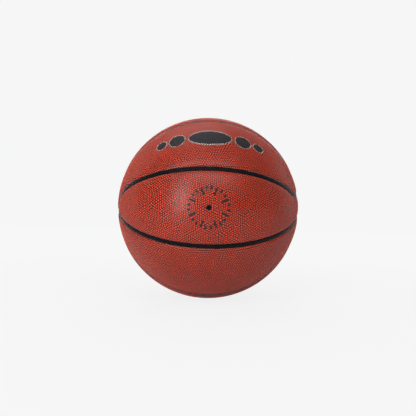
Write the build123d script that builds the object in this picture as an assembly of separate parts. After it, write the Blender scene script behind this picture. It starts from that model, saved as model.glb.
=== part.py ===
from build123d import *

import math
import os

# Basketball of size 6: eight cover panels laid on a ribbed rubber carcass, each over a foam pad,
# with a thread winding, a bladder and a push-in valve inside. Lengths are in millimetres.
# The origin is the ball's centre, +Z is up and the valve faces -Y. The seams meet at two poles on X.

# Layers of the wall, from the outside in
ball_diameter = 232.0
skin_thickness = 1.3
foam_thickness = 1.4
carcass_wall = 1.0
winding_thickness = 0.5
bladder_wall = 0.9
bond_gap = 0.05

# Seam channels, the rubber ribs that show in them, and the edges of the panels beside them
channel_width = 5.0
channel_depth = 1.2
panel_to_rib_gap = 0.2
rib_edge_radius = 0.4
panel_corner_radius = 3.0
panel_edge_radius = 1.3

# Full-thickness hem of a cover panel, which frames its foam pad
hem_width = 4.0
foam_to_hem_gap = 0.2

# Valve: a plug with a bore for the inflating needle, in a moulded housing on a patch
needle_bore_diameter = 2.0
needle_funnel = 0.5
plug_shank_diameter = 4.0
plug_head_overhang = 0.35
plug_head_length = 2.0
plug_gap = 0.05
plug_recess = 0.4
plug_end_setback = 1.0
stem_wall = 0.7
stem_gap = 0.1
valve_recess = 0.6
valve_lip_radius = 0.4
barrel_wall = 2.4
barrel_length = 12.0
barrel_edge_radius = 0.8
flange_width = 11.0
flange_thickness = 1.2
patch_margin = 6.5
patch_thickness = 0.8

# How far a cutting shape runs past what it cuts
overrun = 1.0

# Angles of the seam pattern, in radians: the eight panels are an eighth of a turn wide about the
# poles, and the winding seam crosses a straight one at this angle from a pole
full_turn_degrees = 360.0
half_turn_degrees = 180.0
right_angle = math.pi / 2
panel_angle = math.pi / 4
half_panel = panel_angle / 2
crossing_angle = math.radians(12.0)

# Radii of the layers
ball_radius = ball_diameter / 2
skin_inner = ball_radius - skin_thickness
foam_outer = skin_inner - bond_gap
panel_seat = foam_outer - foam_thickness
carcass_outer = panel_seat - bond_gap
rib_radius = ball_radius - channel_depth
carcass_inner = carcass_outer - carcass_wall
winding_outer = carcass_inner - bond_gap
winding_inner = winding_outer - winding_thickness
bladder_outer = winding_inner - bond_gap
bladder_inner = bladder_outer - bladder_wall
patch_outer = bladder_inner - bond_gap
patch_inner = patch_outer - patch_thickness
flange_outer = patch_inner - bond_gap
flange_inner = flange_outer - flange_thickness

# Radii about the valve axis
needle_radius = needle_bore_diameter / 2
shank_radius = plug_shank_diameter / 2
head_radius = shank_radius + plug_head_overhang
stem_radius = head_radius + plug_gap + stem_wall
valve_hole_radius = stem_radius + stem_gap
barrel_radius = shank_radius + plug_gap + barrel_wall
flange_radius = barrel_radius + flange_width
patch_radius = flange_radius + patch_margin

# Stations along the valve axis, as distances from the ball's centre
stem_face = ball_radius - valve_recess
plug_face = stem_face - plug_recess
head_seat = plug_face - plug_head_length
barrel_end = flange_inner - barrel_length
plug_end = barrel_end + plug_end_setback

# Half the rib's width is half the channel's, less the gap to the panel
panel_inset = channel_width / 2
rib_inset = panel_inset - panel_to_rib_gap
pocket_inset = panel_inset + hem_width
foam_inset = pocket_inset + foam_to_hem_gap
rib_corner_radius = panel_corner_radius + panel_to_rib_gap

# The panels are numbered about the poles, from the one with the valve and upwards from it
panel_numbers = range(1, 9)
valve_panel_number = 1
pole = Vector(1, 0, 0)


def around_poles(angle):
    """Unit vector square to the line of the poles, turned up from the valve's direction."""
    return Vector(0, -math.cos(angle), math.sin(angle))


def from_pole(end, angle, meridian):
    """Unit vector at an angle from one pole, on the meridian through a direction square to the poles."""
    return end * math.cos(angle) + meridian * math.sin(angle)


# The first panel lies between the lower straight seam, the upper straight seam and the winding seam
lower_meridian = around_poles(-half_panel)
upper_meridian = around_poles(panel_angle + half_panel)

# The winding seam follows a meridian of its own and turns at each end on a small circle, which is
# centred on a straight seam and tangent to that meridian
turn_distance = math.atan2(math.sin(crossing_angle), math.cos(crossing_angle) - math.sin(panel_angle))
turn_radius = turn_distance - crossing_angle
right_turn = from_pole(pole, turn_distance, upper_meridian)
left_turn = from_pole(-pole, turn_distance, lower_meridian)

# Seams round the first panel as circles on the ball: their axis, the angle from it, and the way
# that the angle changes towards the panel
lower_seam = (upper_meridian, right_angle, -1)
upper_seam = (lower_meridian, right_angle, -1)
right_bend = (right_turn, turn_radius, 1)
winding_seam = (around_poles(-panel_angle - half_panel), right_angle, -1)
left_bend = (left_turn, turn_radius, -1)


def inset_circle(seam, inset):
    """Circle beside a seam, moved towards the panel by a length along the ball's surface."""
    axis, angle, way = seam
    return axis, angle + way * inset / ball_radius


def on_circle(circle, towards):
    """Point of a circle on the unit ball that lies nearest to a direction."""
    axis, angle = circle
    across = (towards - axis * towards.dot(axis)).normalized()
    return axis * math.cos(angle) + across * math.sin(angle)


def meeting(first, second, near):
    """Point where two circles on the unit ball cross, the one nearer to a direction."""
    (axis_a, angle_a), (axis_b, angle_b) = first, second
    share = axis_a.dot(axis_b)
    spread = 1 - share * share
    base = axis_a * ((math.cos(angle_a) - share * math.cos(angle_b)) / spread)
    base += axis_b * ((math.cos(angle_b) - share * math.cos(angle_a)) / spread)
    rise = axis_a.cross(axis_b).normalized() * math.sqrt(1 - base.dot(base))
    return max((base + rise, base - rise), key=lambda point: point.dot(near))


def arc_on(circle, start, end, radius):
    """Arc of a circle on the ball between two of its points, the shorter way round."""
    axis = circle[0]
    halfway = (start - axis * start.dot(axis)).normalized() + (end - axis * end.dot(axis)).normalized()
    middle = on_circle(circle, halfway)
    return ThreePointArc(start * radius, middle * radius, end * radius)


def panel_outline(radius, inset, corner_radius):
    """Closed outline of the first panel on a ball of some radius, drawn in from the seams."""
    rounding = corner_radius / ball_radius
    centre_inset = inset + corner_radius

    def corner(first, second, near):
        centre = meeting(inset_circle(first, centre_inset), inset_circle(second, centre_inset), near)
        start = on_circle(inset_circle(first, inset), centre)
        end = on_circle(inset_circle(second, inset), centre)
        return start, end, arc_on((centre, rounding), start, end, radius)

    pole_start, pole_end, pole_arc = corner(lower_seam, upper_seam, pole)
    right_tip = from_pole(pole, crossing_angle, upper_meridian)
    right_start, right_end, right_arc = corner(upper_seam, right_bend, right_tip)
    left_tip = from_pole(-pole, crossing_angle, lower_meridian)
    left_start, left_end, left_arc = corner(left_bend, lower_seam, left_tip)

    winding_axis = winding_seam[0]
    right_tangent = on_circle(inset_circle(right_bend, inset), winding_axis)
    left_tangent = on_circle(inset_circle(left_bend, inset), -winding_axis)
    return Wire(
        [
            arc_on(inset_circle(lower_seam, inset), left_end, pole_start, radius),
            pole_arc,
            arc_on(inset_circle(upper_seam, inset), pole_end, right_start, radius),
            right_arc,
            arc_on(inset_circle(right_bend, inset), right_end, right_tangent, radius),
            arc_on(inset_circle(winding_seam, inset), right_tangent, left_tangent, radius),
            arc_on(inset_circle(left_bend, inset), left_tangent, left_start, radius),
            left_arc,
        ]
    )


def panel_block(inner, outer, inset, corner_radius):
    """Solid in the plan of the first panel between two radii, with walls that point at the centre."""
    ball_face = Sphere(outer).faces()[0]
    plan = ball_face.split_by_perimeter(panel_outline(outer, inset, corner_radius), Keep.INSIDE)
    return Part(Solid.thicken(plan, inner - outer).wrapped)


def outer_rim(block):
    """Edges round the outermost face of a panel block."""
    outermost = block.faces().sort_by(lambda face: face.position_at(0.5, 0.5).length)[-1]
    return outermost.edges()


def carried_to(block, number):
    """Copy of a first panel's piece, carried to another panel by the symmetry of the seams."""
    swapped = number % 4 in (2, 3)
    copy = block
    if swapped:
        copy = copy.rotate(Axis((0, 0, 0), around_poles(half_panel)), half_turn_degrees)
    if number in (3, 4):
        copy = mirror(copy, about=Plane(origin=(0, 0, 0), z_dir=lower_meridian))
    elif number in (5, 6):
        copy = copy.rotate(Axis.X, half_turn_degrees)
    elif number in (7, 8):
        copy = mirror(copy, about=Plane(origin=(0, 0, 0), z_dir=upper_meridian))
    return copy


def beside_valve(radius, off_axis):
    """Point on a sphere, at a distance from the valve axis, in the plane of the axis and the poles."""
    return Vector(off_axis, -math.sqrt(radius * radius - off_axis * off_axis), 0)


def turned_about_valve(edges):
    """Solid of revolution about the valve axis."""
    return revolve(Face(Wire(edges)), Axis.Y, full_turn_degrees)


def hollow_ball(inner, outer, hole_radius):
    """Spherical layer with one hole for the valve."""
    outer_far = Vector(0, outer, 0)
    inner_far = Vector(0, inner, 0)
    outer_near = beside_valve(outer, hole_radius)
    inner_near = beside_valve(inner, hole_radius)
    return turned_about_valve(
        [
            ThreePointArc(outer_near, pole * outer, outer_far),
            Line(outer_far, inner_far),
            ThreePointArc(inner_far, pole * inner, inner_near),
            Line(inner_near, outer_near),
        ]
    )


def dished_washer(inner, outer, hole_radius, rim_radius):
    """Ring that lies against a sphere round the valve axis."""
    middle = (hole_radius + rim_radius) / 2
    outer_near, outer_far = beside_valve(outer, hole_radius), beside_valve(outer, rim_radius)
    inner_near, inner_far = beside_valve(inner, hole_radius), beside_valve(inner, rim_radius)
    return turned_about_valve(
        [
            ThreePointArc(outer_near, beside_valve(outer, middle), outer_far),
            Line(outer_far, inner_far),
            ThreePointArc(inner_far, beside_valve(inner, middle), inner_near),
            Line(inner_near, outer_near),
        ]
    )


def valve_rod(radius, from_centre, to_face):
    """Round bar on the valve axis between two distances from the ball's centre."""
    base = Plane(origin=(0, -from_centre, 0), z_dir=(0, -1, 0))
    return extrude(base * Circle(radius), to_face - from_centre)


def ring_edges(solid, radius, distance):
    """Circular edges on the valve axis with a given radius and distance from the ball's centre."""
    tolerance = bond_gap / 2
    return solid.edges().filter_by(
        lambda edge: edge.geom_type == GeomType.CIRCLE
        and abs(edge.radius - radius) < tolerance
        and abs(edge.arc_center.Y + distance) < tolerance
    )


def make_cover_panel():
    """First cover panel: a tray with a rounded edge and a pocket for its foam pad."""
    panel = panel_block(panel_seat, ball_radius, panel_inset, panel_corner_radius)
    panel = fillet(outer_rim(panel), panel_edge_radius)
    pocket = panel_block(panel_seat - overrun, skin_inner, pocket_inset, panel_corner_radius)
    return panel - pocket


def make_foam_pad():
    """First foam pad, in the pocket of its cover panel."""
    return panel_block(panel_seat, foam_outer, foam_inset, panel_corner_radius)


def with_valve_hole(piece):
    """Copy of a panel's piece with the hole that the valve's stem stands in."""
    return piece - valve_rod(valve_hole_radius, carcass_inner, ball_radius + overrun)


def make_carcass():
    """Rubber carcass, with a rib standing along every seam and a bare window under every panel."""
    carcass = hollow_ball(carcass_inner, rib_radius, valve_hole_radius)
    window = panel_block(carcass_outer, rib_radius + overrun, rib_inset, rib_corner_radius)
    for number in panel_numbers:
        carcass -= carried_to(window, number)
    return fillet(outer_rim(carcass).filter_by(GeomType.BSPLINE), rib_edge_radius)


def make_valve_housing():
    """Moulded valve housing: a dished flange, an outward stem and an inward barrel."""
    housing = dished_washer(flange_inner, flange_outer, shank_radius, flange_radius)
    housing += valve_rod(stem_radius, flange_inner, stem_face)
    housing += valve_rod(barrel_radius, barrel_end, (flange_inner + flange_outer) / 2)
    housing = fillet(ring_edges(housing, barrel_radius, barrel_end), barrel_edge_radius)
    housing -= valve_rod(shank_radius + plug_gap, barrel_end - overrun, stem_face + overrun)
    return housing - valve_rod(head_radius + plug_gap, head_seat - plug_gap, stem_face + overrun)


def make_valve_plug():
    """Push-in rubber plug with a head, and a funnel that leads the needle into its bore."""
    plug = valve_rod(shank_radius, plug_end, plug_face) + valve_rod(head_radius, head_seat, plug_face)
    plug -= valve_rod(needle_radius, plug_end - overrun, plug_face + overrun)
    return chamfer(ring_edges(plug, needle_radius, plug_face), needle_funnel)


pieces = {
    "bladder": hollow_ball(bladder_inner, bladder_outer, valve_hole_radius),
    "thread_winding": hollow_ball(winding_inner, winding_outer, valve_hole_radius),
    "carcass": make_carcass(),
    "valve_patch": dished_washer(patch_inner, patch_outer, valve_hole_radius, patch_radius),
    "valve_housing": make_valve_housing(),
    "valve_plug": make_valve_plug(),
}

cover_panel = make_cover_panel()
foam_pad = make_foam_pad()
for number in panel_numbers:
    pad = carried_to(foam_pad, number)
    panel = carried_to(cover_panel, number)
    if number == valve_panel_number:
        pad = with_valve_hole(pad)
        panel = with_valve_hole(panel)
        panel = fillet(panel.edges().filter_by(GeomType.CIRCLE).sort_by(Axis.Y)[0], valve_lip_radius)
    pieces[f"foam_pad_{number}"] = pad
    pieces[f"cover_panel_{number}"] = panel

os.makedirs("parts", exist_ok=True)
for name, piece in pieces.items():
    export_step(piece, os.path.join("parts", f"{name}.step"))
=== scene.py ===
import bmesh
import bpy
import math
import numpy as np
import random
from functools import partial
from mathutils import Matrix, Vector, noise


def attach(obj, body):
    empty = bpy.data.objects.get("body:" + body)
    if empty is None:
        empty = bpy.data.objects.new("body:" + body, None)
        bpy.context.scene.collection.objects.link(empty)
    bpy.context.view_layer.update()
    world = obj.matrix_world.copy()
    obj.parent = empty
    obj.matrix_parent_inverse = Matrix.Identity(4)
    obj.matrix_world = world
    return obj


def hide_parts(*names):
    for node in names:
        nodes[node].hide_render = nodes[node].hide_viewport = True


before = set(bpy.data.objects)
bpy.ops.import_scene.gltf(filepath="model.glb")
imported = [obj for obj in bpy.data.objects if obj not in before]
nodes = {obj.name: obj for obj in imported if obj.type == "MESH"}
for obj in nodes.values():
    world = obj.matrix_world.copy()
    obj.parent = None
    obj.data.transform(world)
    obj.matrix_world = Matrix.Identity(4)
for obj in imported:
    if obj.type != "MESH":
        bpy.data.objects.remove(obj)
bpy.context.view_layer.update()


# Bladder: the airtight bag of the ball, moulded in one piece from black butyl rubber.
# It is sealed under the winding, and has the smooth, slightly cloudy skin of its mould.
noise_detail = 3.0
noise_span = (0.3, 0.7)
cloud_span = (0.35, 0.65)
dust_roughness = 0.3
dust_tint = (0.8, 0.9, 1.0)


def start_material(name):
    """New node material, with its tree and its main shader."""
    material = bpy.data.materials.new(name)
    material.use_nodes = True
    tree = material.node_tree
    return material, tree, tree.nodes["Principled BSDF"]


def feed(tree, socket, value):
    """Gives a socket another socket's value, a plain colour or a plain number."""
    if isinstance(value, bpy.types.NodeSocket):
        tree.links.new(value, socket)
    elif isinstance(value, tuple) and socket.type == "RGBA":
        socket.default_value = (*value, 1.0)
    else:
        socket.default_value = value


def object_place(tree):
    """Place of a point of the surface in the object's own coordinates."""
    return tree.nodes.new("ShaderNodeTexCoord").outputs["Object"]


def object_noise(tree, feature_size, detail):
    """Noise from 0 to 1 on the object's own coordinates, with features of a real size."""
    pattern = tree.nodes.new("ShaderNodeTexNoise")
    feed(tree, pattern.inputs["Vector"], object_place(tree))
    feed(tree, pattern.inputs["Scale"], 1 / feature_size)
    feed(tree, pattern.inputs["Detail"], detail)
    return pattern.outputs["Fac"]


def remap(tree, value, from_span, to_span=(0.0, 1.0)):
    """Maps one span of values to another, and stops at its ends."""
    node = tree.nodes.new("ShaderNodeMapRange")
    for socket, part in zip(node.inputs, (value, *from_span, *to_span)):
        feed(tree, socket, part)
    return node.outputs["Result"]


def mix_colours(tree, factor, first, second):
    """Mix of two colours, each a plain colour or a socket."""
    node = tree.nodes.new("ShaderNodeMix")
    node.data_type = "RGBA"
    sockets = {socket.identifier: socket for socket in (*node.inputs, *node.outputs)}
    feed(tree, sockets["Factor_Float"], factor)
    feed(tree, sockets["A_Color"], first)
    feed(tree, sockets["B_Color"], second)
    return sockets["Result_Color"]


def raise_relief(tree, shader, height, depth):
    """Fine relief of a real depth, on the shader's normal."""
    bump = tree.nodes.new("ShaderNodeBump")
    feed(tree, bump.inputs["Distance"], depth)
    feed(tree, bump.inputs["Height"], height)
    feed(tree, shader.inputs["Normal"], bump.outputs["Normal"])


def moulded_rubber(name, dark, light, specular, roughness_span, dust, cloud_size, grain_size, grain_depth):
    """Black rubber from a mould: cloudy, with a fine grain that breaks its gloss and a dusty sheen."""
    material, tree, shader = start_material(name)
    cloud = remap(tree, object_noise(tree, cloud_size, noise_detail), cloud_span)
    grain = object_noise(tree, grain_size, noise_detail)
    feed(tree, shader.inputs["Base Color"], mix_colours(tree, cloud, dark, light))
    feed(tree, shader.inputs["Roughness"], remap(tree, grain, noise_span, roughness_span))
    feed(tree, shader.inputs["Specular IOR Level"], specular)
    feed(tree, shader.inputs["Sheen Weight"], dust)
    feed(tree, shader.inputs["Sheen Roughness"], dust_roughness)
    feed(tree, shader.inputs["Sheen Tint"], dust_tint)
    raise_relief(tree, shader, grain, grain_depth)
    return material


def dress(name, material):
    """Gives a carried-over piece its material."""
    nodes[name].material_slots[0].material = material


bladder_rubber = moulded_rubber(
    "bladder_rubber", dark=(0.02, 0.02, 0.02), light=(0.034, 0.033, 0.032), specular=0.4,
    roughness_span=(0.36, 0.5), dust=0.05, cloud_size=0.03, grain_size=0.002, grain_depth=0.00004,
)
dress("bladder", bladder_rubber)


# Valve patch and housing: a vulcanised reinforcement disc inside the bladder, and the flanged
# rubber body that is moulded on it. Only the end of the housing's stem shows from outside.
housing_rubber = moulded_rubber(
    "housing_rubber", dark=(0.014, 0.014, 0.017), light=(0.024, 0.024, 0.029), specular=0.2,
    roughness_span=(0.4, 0.55), dust=0.02, cloud_size=0.004, grain_size=0.0007, grain_depth=0.00003,
)
dress("valve_patch", housing_rubber)
dress("valve_housing", housing_rubber)


# Valve plug: the soft push-in core that grips the inflating needle. It pulls out to be replaced,
# and its rubber is a little glossier than the housing around it. Its colour is darker than the
# housing's, as painted shade in the valve's hole.
shaded_plug_rubber = moulded_rubber(
    "shaded_plug_rubber", dark=(0.004, 0.004, 0.005), light=(0.009, 0.009, 0.012), specular=0.15,
    roughness_span=(0.28, 0.42), dust=0.02, cloud_size=0.003, grain_size=0.0005, grain_depth=0.00001,
)
dress("valve_plug", shaded_plug_rubber)


# Thread winding: turns of nylon thread laid over the bladder every way round and set in latex.
# It is sealed in the wall, so its crossing threads are relief in the material.
thread_pitch = 0.0006
thread_relief = thread_pitch / 4
thread_turns = (math.radians(35), math.radians(-50))
waves_per_scale = math.tau / 20


def work_out(tree, operation, *values):
    """Math node, fed with sockets or numbers."""
    node = tree.nodes.new("ShaderNodeMath")
    node.operation = operation
    for socket, value in zip(node.inputs, values):
        feed(tree, socket, value)
    return node.outputs["Value"]


def wound_thread(name, shade, thread, roughness):
    """Pale thread that crosses itself in two directions, with painted shade in the grooves between."""
    material, tree, shader = start_material(name)
    place = object_place(tree)
    layers = []
    for turn in thread_turns:
        mapping = tree.nodes.new("ShaderNodeMapping")
        feed(tree, mapping.inputs["Vector"], place)
        feed(tree, mapping.inputs["Rotation"], (turn, turn, 0))
        wave = tree.nodes.new("ShaderNodeTexWave")
        feed(tree, wave.inputs["Vector"], mapping.outputs["Vector"])
        feed(tree, wave.inputs["Scale"], waves_per_scale / thread_pitch)
        layers.append(wave.outputs["Fac"])
    weave = work_out(tree, "MAXIMUM", *layers)
    feed(tree, shader.inputs["Base Color"], mix_colours(tree, weave, shade, thread))
    feed(tree, shader.inputs["Roughness"], roughness)
    raise_relief(tree, shader, weave, thread_relief)
    return material


nylon_thread = wound_thread(
    "wound_thread", shade=(0.3, 0.28, 0.24), thread=(0.72, 0.7, 0.64), roughness=0.75,
)
dress("thread_winding", nylon_thread)


# Carcass: the moulded rubber shell under the panels. Its ribs stand up in the seams and are the
# black lines of the ball. They have the dull, finely grained and dusty finish of the mould. Their
# colour is darker than black rubber's own, as painted shade of the channels that the ribs lie in.
shaded_rib_rubber = moulded_rubber(
    "shaded_rib_rubber", dark=(0.0025, 0.0026, 0.0032), light=(0.005, 0.0052, 0.0062), specular=0.07,
    roughness_span=(0.42, 0.6), dust=0.85, cloud_size=0.006, grain_size=0.0006, grain_depth=0.00005,
)
dress("carcass", shaded_rib_rubber)


# Foam pads: sponge rubber cut to shape, one glued in the pocket under each cover panel.
# They are closed in, and show the cut cells of the sponge.
panel_numbers = range(1, 9)
sponge_cell = 0.0005
sponge_relief = sponge_cell / 3


def cut_sponge(name, painted_hollow_shade, wall, roughness):
    """Sponge with cut cells, with painted shade in their hollows."""
    material, tree, shader = start_material(name)
    cells = tree.nodes.new("ShaderNodeTexVoronoi")
    feed(tree, cells.inputs["Vector"], object_place(tree))
    feed(tree, cells.inputs["Scale"], 1 / sponge_cell)
    feed(tree, shader.inputs["Base Color"], mix_colours(tree, cells.outputs["Distance"], painted_hollow_shade, wall))
    feed(tree, shader.inputs["Roughness"], roughness)
    raise_relief(tree, shader, cells.outputs["Distance"], sponge_relief)
    return material


pad_sponge = cut_sponge("pad_sponge", painted_hollow_shade=(0.4, 0.36, 0.3), wall=(0.75, 0.71, 0.62), roughness=0.85)
for number in panel_numbers:
    dress(f"foam_pad_{number}", pad_sponge)


# Cover panels: eight alike panels of composite leather, embossed all over with close pebbles and
# laid on the carcass with their edges rolled down into the seam channels. Each is one closed
# sheet with every pebble raised on it, and the front one has the hole for the valve.
ball_radius = 0.116
seat_radius = 0.11325
panel_inset = 0.0029
edge_rounding = 0.0008
corner_rounding = 0.0022
edge_skirt = 0.0003
valve_hole_radius = 0.0032
valve_lip_rounding = 0.0004
valve_zone = 0.012
shoulder_width = 0.007
shoulder_drop = 0.0006
pebble_height = 0.00035
pebble_crown_share = 0.2
pebble_jitter = 0.00025
lattice_jitter = 0.0009
swirl_size = 0.009
swirl_reach = 0.0013
swirl_seed = 3
corner_cut_percent = 100 / 3
settling_width = 0.004
settling_rounds = 6
steps_per_radius = 100000
flat_share = 0.01
panel_angle = math.pi / 4
crossing_angle = math.radians(12)
pole = np.array((1.0, 0.0, 0.0))
valve_way = np.array((0.0, -1.0, 0.0))


def around_poles(panels):
    """Unit vector square to the poles, turned up from the valve by a number of panel widths."""
    angle = panels * panel_angle
    return np.array((0.0, -math.cos(angle), math.sin(angle)))


def from_pole(end, angle, meridian):
    """Unit vector at an angle from one pole, along a meridian."""
    return end * math.cos(angle) + meridian * math.sin(angle)


# The winding seam turns on small circles at its ends, which cross the straight seams near the poles
turn_distance = math.atan2(math.sin(crossing_angle), math.cos(crossing_angle) - math.sin(panel_angle))
turn_angle = turn_distance - crossing_angle
tangent_angle = math.atan(math.tan(turn_distance) * math.cos(panel_angle))
winding_way = around_poles(-1.5)
lower_meridian = around_poles(-0.5)
middle_meridian = around_poles(0.5)
upper_meridian = around_poles(1.5)
right_turn = from_pole(pole, turn_distance, upper_meridian)
left_turn = from_pole(-pole, turn_distance, lower_meridian)
right_tangent = pole * math.sin(tangent_angle) - middle_meridian * math.cos(tangent_angle)
left_tangent = -pole * math.sin(tangent_angle) - middle_meridian * math.cos(tangent_angle)


def arc_to(points, way):
    """Distance along the ball from points to the end of a direction."""
    units = points / np.linalg.norm(points, axis=1, keepdims=True)
    return np.arccos(np.clip(units @ way, -1, 1)) * ball_radius


def rounded_least(first, second):
    """Lesser of two depths, with the corner between their edges rounded."""
    corner = corner_rounding - np.hypot(corner_rounding - first, corner_rounding - second)
    in_corner = (first < corner_rounding) & (second < corner_rounding)
    return np.where(in_corner, corner, np.minimum(first, second))


def edge_depths(points, has_valve):
    """Depth of points inside the line where the first panel's edge rolls over, and its rounding."""
    quarter = math.pi / 2 * ball_radius
    turn = turn_angle * ball_radius
    lower = quarter - arc_to(points, upper_meridian)
    upper = quarter - arc_to(points, lower_meridian)
    winding = quarter - arc_to(points, winding_way)
    winding = np.where(points @ right_tangent > 0, arc_to(points, right_turn) - turn, winding)
    winding = np.where(points @ left_tangent > 0, turn - arc_to(points, left_turn), winding)
    inset = panel_inset + edge_rounding
    depths = rounded_least(rounded_least(lower - inset, upper - inset), winding - inset)
    roundings = np.full(len(points), edge_rounding)
    if has_valve:
        from_valve = arc_to(points, valve_way) - valve_hole_radius - valve_lip_rounding
        depths = np.where(from_valve < valve_zone, from_valve, depths)
        roundings = np.where(from_valve < valve_zone, valve_lip_rounding, roundings)
    return depths, roundings


def inward_ways(points, depths_of):
    """Unit vectors that lead along the ball, away from the nearest edge of a sheet."""
    step = ball_radius / steps_per_radius
    slopes = np.empty_like(points)
    for axis, shift in enumerate(np.eye(3) * step):
        ahead, _ = depths_of(points + shift)
        behind, _ = depths_of(points - shift)
        slopes[:, axis] = ahead - behind
    return slopes / np.maximum(np.linalg.norm(slopes, axis=1, keepdims=True), step * flat_share)


def edge_overrun(roundings):
    """Width of leather beyond the line where an edge rolls over."""
    return roundings * math.pi / 2 + edge_skirt


def places(verts):
    """Vertices' places as an array."""
    return np.array([vert.co for vert in verts])


def put(verts, points, radii):
    """Moves vertices to the directions in an array, at the given distances from the centre."""
    points = points / np.linalg.norm(points, axis=1, keepdims=True) * np.reshape(radii, (-1, 1))
    for vert, point in zip(verts, points):
        vert.co = point


def jitter(dice, reach):
    """Small random shift."""
    return Vector([dice.uniform(-reach, reach) for _ in range(3)])


def tile_ball(cuts):
    """Ball tiled with small uneven cells in swirling rows, one for each pebble."""
    cells = bmesh.new()
    bmesh.ops.create_icosphere(cells, subdivisions=3, radius=ball_radius)
    bmesh.ops.subdivide_edges(cells, edges=cells.edges[:], cuts=cuts, use_grid_fill=True)
    dice = random.Random(0)
    noise.seed_set(swirl_seed)
    for vert in cells.verts:
        vert.co += jitter(dice, lattice_jitter)
        vert.co += noise.noise_vector(vert.co / swirl_size) * swirl_reach
    put(cells.verts, places(cells.verts), ball_radius)
    bmesh.ops.delete(cells, geom=cells.edges[:] + cells.faces[:], context="EDGES_FACES")
    bmesh.ops.convex_hull(cells, input=cells.verts[:])
    bmesh.ops.bevel(
        cells, geom=cells.verts[:], offset=corner_cut_percent, offset_type="PERCENT", affect="VERTICES",
        segments=1, profile=0.5, material=-1,
    )
    return cells


def cut_cells(tiling, depths_of, dice):
    """Cells inside an outline, uneven as on leather, with whole cells along its edges."""
    cells = tiling.copy()
    axis = Vector([dice.gauss(0, 1) for _ in range(3)])
    turn = Matrix.Rotation(dice.uniform(0, math.tau), 3, axis)
    bmesh.ops.rotate(cells, cent=(0, 0, 0), matrix=turn, verts=cells.verts[:])
    centres = np.array([face.calc_center_median() for face in cells.faces])
    depths, roundings = depths_of(centres)
    outside = [face for face, spare in zip(cells.faces, depths + edge_overrun(roundings)) if spare < 0]
    bmesh.ops.delete(cells, geom=outside, context="FACES")
    for vert in cells.verts:
        vert.co += jitter(dice, pebble_jitter)

    depths, _ = depths_of(places(cells.verts))
    by_edge = [vert for vert, depth in zip(cells.verts, depths) if depth < settling_width]
    rim = [vert for vert in cells.verts if vert.is_boundary]
    for _ in range(settling_rounds):
        bmesh.ops.smooth_vert(
            cells, verts=by_edge, factor=0.5, use_axis_x=True, use_axis_y=True, use_axis_z=True,
        )
        points = places(rim)
        depths, roundings = depths_of(points)
        excess = depths + edge_overrun(roundings)
        put(rim, points - inward_ways(points, depths_of) * excess[:, None], ball_radius)
    put(cells.verts, places(cells.verts), ball_radius)
    return cells


def roll_edges(verts, depths_of, radius, is_front):
    """Rolls a sheet's front over its edges into the channel, or sets its back at one radius."""
    points = places(verts)
    depths, roundings = depths_of(points)
    past = np.maximum(-depths, 0)
    bend = np.minimum(past / roundings, math.pi / 2)
    across = roundings * np.sin(bend)
    drop = roundings * (1 - np.cos(bend)) + past - roundings * bend
    nearness = np.clip(1 - np.maximum(depths, 0) / shoulder_width, 0, 1)
    drop += np.where(roundings == edge_rounding, shoulder_drop * nearness**2, 0)
    points += inward_ways(points, depths_of) * (past - across)[:, None]
    put(verts, points, radius - drop if is_front else np.full(len(verts), radius))


def raise_ring(cells, pebbles, width_share, round_share, height, grain_share):
    """Insets every pebble's cell to a smaller and rounder ring that stands higher."""
    grain = cells.verts.layers.float["grain"]
    bmesh.ops.inset_individual(cells, faces=pebbles, thickness=0, depth=0)
    for face in pebbles:
        centre = face.calc_center_median()
        arms = [vert.co - centre for vert in face.verts]
        mean_arm = sum(arm.length for arm in arms) / len(arms)
        for vert, arm in zip(face.verts, arms):
            rounder = 1 + round_share * (mean_arm / arm.length - 1)
            vert.co = centre + arm * width_share * rounder + face.normal * height
            vert[grain] = grain_share


def emboss_sheet(tiling, depths_of, valley_radius, back_radius, height, dice):
    """Closed sheet inside an outline, with a pebble raised on every cell."""
    cells = cut_cells(tiling, depths_of, dice)
    grain = cells.verts.layers.float.new("grain")
    tone = cells.verts.layers.float.new("tone")
    lifted = bmesh.ops.extrude_face_region(cells, geom=cells.faces[:], use_keep_orig=True)["geom"]
    pebbles = [item for item in lifted if isinstance(item, bmesh.types.BMFace)]
    lifted_verts = {vert for face in pebbles for vert in face.verts}
    front = [vert for vert in cells.verts if vert in lifted_verts]
    back = [vert for vert in cells.verts if vert not in lifted_verts]
    roll_edges(front, depths_of, valley_radius, is_front=True)
    roll_edges(back, depths_of, back_radius, is_front=False)
    cells.normal_update()
    raise_ring(cells, pebbles, width_share=0.72, round_share=0.5, height=0, grain_share=0.0)
    for face in pebbles:
        for edge in face.edges:
            edge.smooth = False
    crown = height * pebble_crown_share
    raise_ring(cells, pebbles, width_share=0.84, round_share=0.7, height=height - crown, grain_share=0.75)
    for face in pebbles:
        shade = dice.random()
        for vert in face.verts:
            vert[tone] = shade
    tops = bmesh.ops.poke(cells, faces=pebbles, offset=crown)["verts"]
    for vert in tops:
        vert[grain] = 1.0
    return cells


def make_object(cells, name, material):
    """Puts a worked mesh into the scene as an object of one material."""
    mesh = bpy.data.meshes.new(name)
    cells.to_mesh(mesh)
    cells.free()
    mesh.materials.append(material)
    item = bpy.data.objects.new(name, mesh)
    bpy.context.scene.collection.objects.link(item)
    return item


def add_sheet(cells, name, material):
    """Makes an embossed sheet a smooth object that rides on the ball."""
    bmesh.ops.recalc_face_normals(cells, faces=cells.faces[:])
    sheet = make_object(cells, name, material)
    sheet.data.shade_smooth()
    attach(sheet, "ball")
    return sheet


def mirror_across(way):
    """Matrix that mirrors in the plane through the centre that is square to a direction."""
    return Matrix.Scale(-1, 4, Vector(way))


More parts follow.
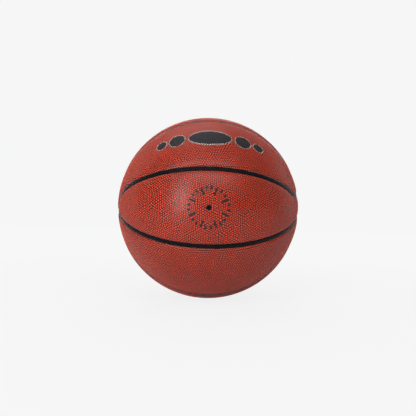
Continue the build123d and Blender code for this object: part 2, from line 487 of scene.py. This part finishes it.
def carry_to(number):
    """Matrix that carries the first panel to another one, by the symmetry of the seams."""
    matrix = Matrix.Identity(4)
    if number % 4 in (2, 3):
        matrix = Matrix.Rotation(math.pi, 4, Vector(middle_meridian))
    if number in (3, 4):
        matrix = mirror_across(lower_meridian) @ matrix
    elif number in (5, 6):
        matrix = Matrix.Rotation(math.pi, 4, "X") @ matrix
    elif number in (7, 8):
        matrix = mirror_across(upper_meridian) @ matrix
    return matrix


def vector_node(tree, operation, *vectors):
    """Vector math node, fed with sockets or plain vectors."""
    node = tree.nodes.new("ShaderNodeVectorMath")
    node.operation = operation
    for socket, vector in zip(node.inputs, vectors):
        feed(tree, socket, vector)
    return node


def printed_arc(tree, way, direction):
    """Distance along the ball from the end of a fixed direction."""
    dot = vector_node(tree, "DOT_PRODUCT", way, tuple(direction)).outputs["Value"]
    return work_out(tree, "MULTIPLY", work_out(tree, "ARCCOSINE", dot), ball_radius)


def printed_row(tree, way):
    """Distance from a row of printed shapes: a long oval with two shrinking dots on each side."""
    centre = around_poles(1)
    oval_half_length = 0.025
    oval_focus = 0.0222
    dots = ((0.0395, 0.0095), (0.0595, 0.0065))

    def arc_from(end):
        """Distance from a place in the row, on its middle line."""
        return printed_arc(tree, way, from_pole(pole, math.pi / 2 - end / ball_radius, centre))

    both_reaches = work_out(tree, "ADD", arc_from(oval_focus), arc_from(-oval_focus))
    mean_reach = work_out(tree, "MULTIPLY", both_reaches, 0.5)
    nearest = work_out(tree, "SUBTRACT", mean_reach, oval_half_length)
    for reach, radius in dots:
        for end in (reach, -reach):
            nearest = work_out(tree, "MINIMUM", nearest, work_out(tree, "SUBTRACT", arc_from(end), radius))
    return nearest


def printed_dial(tree, way):
    """Distance from a printed ring of plain ticks round the valve, every third one longer."""
    tick_half_width = 0.0012
    ticks = ((24, 0.0225, 0.0018), (8, 0.02, 0.0043))
    radius = printed_arc(tree, way, valve_way)
    parts = tree.nodes.new("ShaderNodeSeparateXYZ")
    feed(tree, parts.inputs["Vector"], way)
    angle = work_out(tree, "ARCTAN2", parts.outputs["Z"], parts.outputs["X"])
    rings = []
    for count, middle, half_length in ticks:
        turns = work_out(tree, "FRACT", work_out(tree, "MULTIPLY_ADD", angle, count / math.tau, count))
        aside = work_out(tree, "ABSOLUTE", work_out(tree, "SUBTRACT", turns, 0.5))
        aside = work_out(tree, "MULTIPLY", work_out(tree, "MULTIPLY", aside, math.tau / count), radius)
        aside = work_out(tree, "SUBTRACT", aside, tick_half_width)
        along = work_out(tree, "ABSOLUTE", work_out(tree, "SUBTRACT", radius, middle))
        along = work_out(tree, "SUBTRACT", along, half_length)
        rings.append(work_out(tree, "MAXIMUM", aside, along))
    return work_out(tree, "MINIMUM", *rings)


def worked_value(tree, layer):
    """Value that was worked into the mesh, under its layer's name."""
    attribute = tree.nodes.new("ShaderNodeAttribute")
    attribute.attribute_name = layer
    return attribute.outputs["Fac"]


def pebbled_leather(name, printed, outline_width):
    """Composite leather: red-brown pebbles over near-black valleys, with a satin film and ink on it."""
    valley = (0.006, 0.002, 0.002)
    pebble_dark = (0.59, 0.046, 0.016)
    pebble_light = (0.75, 0.068, 0.025)
    pebble_span = (0.3, 0.55)
    mottle_size = 0.03
    mottle_share = 0.5
    ink = (0.014, 0.0125, 0.016)
    ink_softness = 0.00012
    ink_dullness = 0.2
    outline_ink = (0.62, 0.52, 0.48)
    outline_span = (0.3, 0.6)
    pore_size = 0.0004
    pore_detail = 2.0
    pore_depth = 0.00002
    film_roughness = (0.32, 0.44)
    film_specular = 0.38
    worn_span = (0.4, 0.8)
    worn_dullness = (-0.05, 0.17)
    nap_share = 0.35
    nap_roughness = 0.3
    nap_tint = (1.0, 0.36, 0.28)

    material, tree, shader = start_material(name)
    height = worked_value(tree, "grain")
    tone = worked_value(tree, "tone")
    cloud = remap(tree, object_noise(tree, mottle_size, noise_detail), noise_span, (0.0, mottle_share))
    mottle = work_out(tree, "MULTIPLY_ADD", tone, mottle_share, cloud)
    colour = mix_colours(tree, mottle, pebble_dark, pebble_light)
    colour = mix_colours(tree, remap(tree, height, pebble_span), valley, colour)
    dullness = remap(tree, height, worn_span, worn_dullness)
    if printed:
        way = vector_node(tree, "NORMALIZE", object_place(tree)).outputs["Vector"]
        distance = printed(tree, way)
        if outline_width:
            outline_edge = (outline_width + ink_softness, outline_width - ink_softness)
            outlined = work_out(
                tree, "MULTIPLY", remap(tree, distance, outline_edge), remap(tree, height, outline_span),
            )
            colour = mix_colours(tree, outlined, colour, outline_ink)
        inked = remap(tree, distance, (ink_softness, -ink_softness))
        colour = mix_colours(tree, inked, colour, ink)
        dullness = work_out(tree, "MULTIPLY_ADD", inked, ink_dullness, dullness)
    feed(tree, shader.inputs["Base Color"], colour)
    pores = object_noise(tree, pore_size, pore_detail)
    roughness = work_out(tree, "ADD", remap(tree, pores, noise_span, film_roughness), dullness)
    feed(tree, shader.inputs["Roughness"], roughness)
    feed(tree, shader.inputs["Specular IOR Level"], film_specular)
    feed(tree, shader.inputs["Sheen Weight"], nap_share)
    feed(tree, shader.inputs["Sheen Roughness"], nap_roughness)
    feed(tree, shader.inputs["Sheen Tint"], nap_tint)
    raise_relief(tree, shader, pores, pore_depth)
    return material


plain_leather = pebbled_leather("plain_leather", printed=None, outline_width=0)
panel_leathers = {
    1: pebbled_leather("dial_leather", printed=printed_dial, outline_width=0),
    2: pebbled_leather("row_leather", printed=printed_row, outline_width=0.0011),
}
leather_tiling = tile_ball(cuts=7)
for number in panel_numbers:
    cells = emboss_sheet(
        leather_tiling, partial(edge_depths, has_valve=number == 1), ball_radius - pebble_height,
        seat_radius, pebble_height, random.Random(number),
    )
    bmesh.ops.transform(cells, matrix=carry_to(number), verts=cells.verts[:])
    panel = add_sheet(cells, f"leather_panel_{number}", panel_leathers.get(number, plain_leather))
    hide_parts(f"cover_panel_{number}")
leather_tiling.free()


# Seam ribs: the tops of the carcass's ribs, which show between the panels. The mould gives them a
# finer pebble than the leather's, in the same black rubber as the carcass that they are part of.
rib_radius = 0.1148
rib_skin = 0.00003
rib_root_radius = 0.1138
rib_gap = 0.00015
rib_rounding = 0.0004
rib_pebble_height = 0.0002


def rib_depths(points):
    """Depth of points inside the line where the ribs' edges roll over, and its rounding."""
    nearest = np.full(len(points), -ball_radius)
    for number in panel_numbers:
        to_first = np.array(carry_to(number).inverted().to_3x3())
        depths, _ = edge_depths(points @ to_first.T, has_valve=False)
        nearest = np.maximum(nearest, depths)
    return -nearest - edge_rounding - rib_gap - rib_rounding, np.full(len(points), rib_rounding)


rib_tiling = tile_ball(cuts=9)
cells = emboss_sheet(
    rib_tiling, rib_depths, rib_radius + rib_skin, rib_root_radius, rib_pebble_height, random.Random(0),
)
ribs = add_sheet(cells, "seam_ribs", shaded_rib_rubber)
rib_tiling.free()


# Floor: a plain pale sheet of paper that the ball stands on, swept up behind it into a backdrop.
# It is lit up to one even white, so that only the ball's soft shadow shows on it.
sheet_half_width = 6.0
sheet_front = -4.0
sheet_back = 3.0
sheet_rise = 4.0
sweep_radius = 1.5
sweep_steps = 24
paper_white = (0.93, 0.93, 0.932)
paper_shade = (0.85, 0.85, 0.86)
paper_roughness = 0.9
shadow_reach = 0.2
even_reach = 0.7
evenness_shares = (0.9, 0.99)


def seen_share(tree, direct_share, mirrored_share):
    """One share for rays from the camera, one for rays from a gloss or glass, 0 for light that spreads."""
    path = tree.nodes.new("ShaderNodeLightPath")
    mirrored = work_out(tree, "MAXIMUM", path.outputs["Is Glossy Ray"], path.outputs["Is Transmission Ray"])
    mirrored = work_out(tree, "MULTIPLY", mirrored, mirrored_share)
    return work_out(tree, "MULTIPLY_ADD", path.outputs["Is Camera Ray"], direct_share, mirrored)


def blend_shaders(tree, share, first, second):
    """Mix of two shaders, from all of the first to all of the second."""
    blend = tree.nodes.new("ShaderNodeMixShader")
    for socket, value in zip(blend.inputs, (share, first, second)):
        feed(tree, socket, value)
    return blend.outputs["Shader"]


def pale_paper(name, colour, shade):
    """Pale paper, lifted to one even white where it is seen, but less round the ball and in a mirror."""
    material, tree, shader = start_material(name)
    reach = vector_node(tree, "LENGTH", object_place(tree)).outputs["Value"]
    evenness = remap(tree, reach, (shadow_reach, even_reach), evenness_shares)
    feed(tree, shader.inputs["Base Color"], shade)
    feed(tree, shader.inputs["Roughness"], paper_roughness)
    glow = tree.nodes.new("ShaderNodeEmission")
    feed(tree, glow.inputs["Color"], colour)
    lifted = seen_share(tree, direct_share=evenness, mirrored_share=0.3)
    blend = blend_shaders(tree, lifted, shader.outputs["BSDF"], glow.outputs["Emission"])
    feed(tree, tree.nodes["Material Output"].inputs["Surface"], blend)
    return material


def extrude_line(sheet, edges, shift):
    """Draws a line of edges out into a flat stretch, and gives its far line."""
    drawn = bmesh.ops.extrude_edge_only(sheet, edges=edges)["geom"]
    far = [item for item in drawn if isinstance(item, bmesh.types.BMVert)]
    bmesh.ops.translate(sheet, verts=far, vec=shift)
    return [item for item in drawn if isinstance(item, bmesh.types.BMEdge) and set(item.verts) <= set(far)]


sheet = bmesh.new()
sides = (-sheet_half_width, sheet_half_width)
corners = [sheet.verts.new((side, sheet_front, -ball_radius)) for side in sides]
line = extrude_line(sheet, [sheet.edges.new(corners)], (0, sheet_back - sheet_front, 0))
swept = bmesh.ops.spin(
    sheet, geom=line, cent=(0, sheet_back, sweep_radius - ball_radius), axis=(1, 0, 0),
    angle=math.pi / 2, steps=sweep_steps,
)["geom_last"]
extrude_line(sheet, [item for item in swept if isinstance(item, bmesh.types.BMEdge)], (0, 0, sheet_rise))
bmesh.ops.recalc_face_normals(sheet, faces=sheet.faces[:])
floor = make_object(sheet, "floor_sheet", pale_paper("pale_paper", paper_white, paper_shade))
floor.data.shade_smooth()


# Drapes: dark cloth hung in a ring round the set, open towards the backdrop, with a flat top. The
# camera doesn't see it, but the ball's gloss does, which keeps the leather's colour deep.
drape_radius = 2.6
drape_height = 2.4
drape_opening = math.radians(140)
drape_turn = math.radians(12)
drape_steps = 48
drape_dark = (0.02, 0.02, 0.02)
drape_light = (0.04, 0.04, 0.04)
drape_fold_size = 0.3
drape_fold_detail = 2.0
drape_roughness = 0.9

drape_cloth, drape_tree, drape_shader = start_material("drape_cloth")
drape_fold = object_noise(drape_tree, drape_fold_size, drape_fold_detail)
drape_colour = mix_colours(drape_tree, drape_fold, drape_dark, drape_light)
feed(drape_tree, drape_shader.inputs["Base Color"], drape_colour)
feed(drape_tree, drape_shader.inputs["Roughness"], drape_roughness)
drape = bmesh.new()
hem = Vector((0, drape_radius, -ball_radius))
hem.rotate(Matrix.Rotation(drape_opening / 2 + drape_turn, 3, "Z"))
selvedge = drape.edges.new([drape.verts.new(hem), drape.verts.new(hem + Vector((0, 0, drape_height)))])
bmesh.ops.spin(
    drape, geom=[selvedge, *selvedge.verts], cent=(0, 0, 0), axis=(0, 0, 1),
    angle=math.tau - drape_opening, steps=drape_steps,
)
top_edges = [edge for edge in drape.edges if all(vert.co.z > 0 for vert in edge.verts)]
bmesh.ops.contextual_create(drape, geom=top_edges)
drapes = make_object(drape, "drape_ring", drape_cloth)
drapes.visible_camera = False


# Studio light: a dim, even surround and five soft boxes. The upright key box stands left of the
# camera and a wide one hangs above it. One overhead, one behind on the right and one on the
# backdrop's side light the rim of the ball.
fill_strength = 0.06
fill_colour = (0.96, 0.98, 1.0)


def soft_box(name, place, width, height, power):
    """Oblong area lamp that faces the ball."""
    lamp = bpy.data.lights.new(name, "AREA")
    lamp.shape = "RECTANGLE"
    lamp.size = width
    lamp.size_y = height
    lamp.energy = power
    holder = bpy.data.objects.new(name, lamp)
    holder.location = place
    holder.rotation_euler = Vector(place).to_track_quat("Z", "Y").to_euler()
    bpy.context.scene.collection.objects.link(holder)


soft_box("key_box", place=(-0.85, -1.36, 0.25), width=0.4, height=0.8, power=12.5)
soft_box("top_box", place=(-0.3, 0.5, 2.0), width=1.6, height=1.6, power=11.5)
soft_box("right_box", place=(1.7, 0.9, 0.35), width=1.0, height=1.4, power=4.5)
soft_box("front_box", place=(-0.1, -1.5, 1.4), width=2.6, height=0.8, power=27.0)
soft_box("back_box", place=(0.0, 2.4, 0.8), width=2.0, height=1.4, power=32.0)
surround = bpy.data.worlds.new("pale_surround")
surround.use_nodes = True
surround_tree = surround.node_tree
fill = surround_tree.nodes["Background"]
feed(surround_tree, fill.inputs["Color"], fill_colour)
feed(surround_tree, fill.inputs["Strength"], fill_strength)
white = surround_tree.nodes.new("ShaderNodeBackground")
feed(surround_tree, white.inputs["Color"], paper_white)
shown = seen_share(surround_tree, direct_share=1.0, mirrored_share=1.0)
show = blend_shaders(surround_tree, shown, fill.outputs["Background"], white.outputs["Background"])
feed(surround_tree, surround_tree.nodes["World Output"].inputs["Surface"], show)
bpy.context.scene.world = surround
bpy.context.scene.view_settings.view_transform = "Standard"


# Camera: six and a half ball radii away and level with the ball, turned and rolled by the small
# angles at which the seams stand in the view.
camera_distance = 6.5 * ball_radius
camera_azimuth = math.radians(-0.5)
camera_elevation = math.radians(-0.24)
camera_roll = math.radians(1.3)
sensor_width = 36.0
picture_pixels = 416
outline_pixels = 90.14
outline_share = outline_pixels / picture_pixels
outline_slope = ball_radius / math.sqrt(camera_distance**2 - ball_radius**2)
camera_data = bpy.data.cameras.new("camera")
camera_data.sensor_width = sensor_width
camera_data.lens = sensor_width * outline_share / outline_slope
camera = bpy.data.objects.new("camera", camera_data)
level = math.cos(camera_elevation)
to_camera = Vector((
    math.sin(camera_azimuth) * level,
    -math.cos(camera_azimuth) * level,
    math.sin(camera_elevation),
))
facing = to_camera.to_track_quat("Z", "Y").to_matrix()
camera.location = to_camera * camera_distance
camera.rotation_euler = (facing @ Matrix.Rotation(camera_roll, 3, "Z")).to_euler()
bpy.context.scene.collection.objects.link(camera)
bpy.context.scene.camera = camera
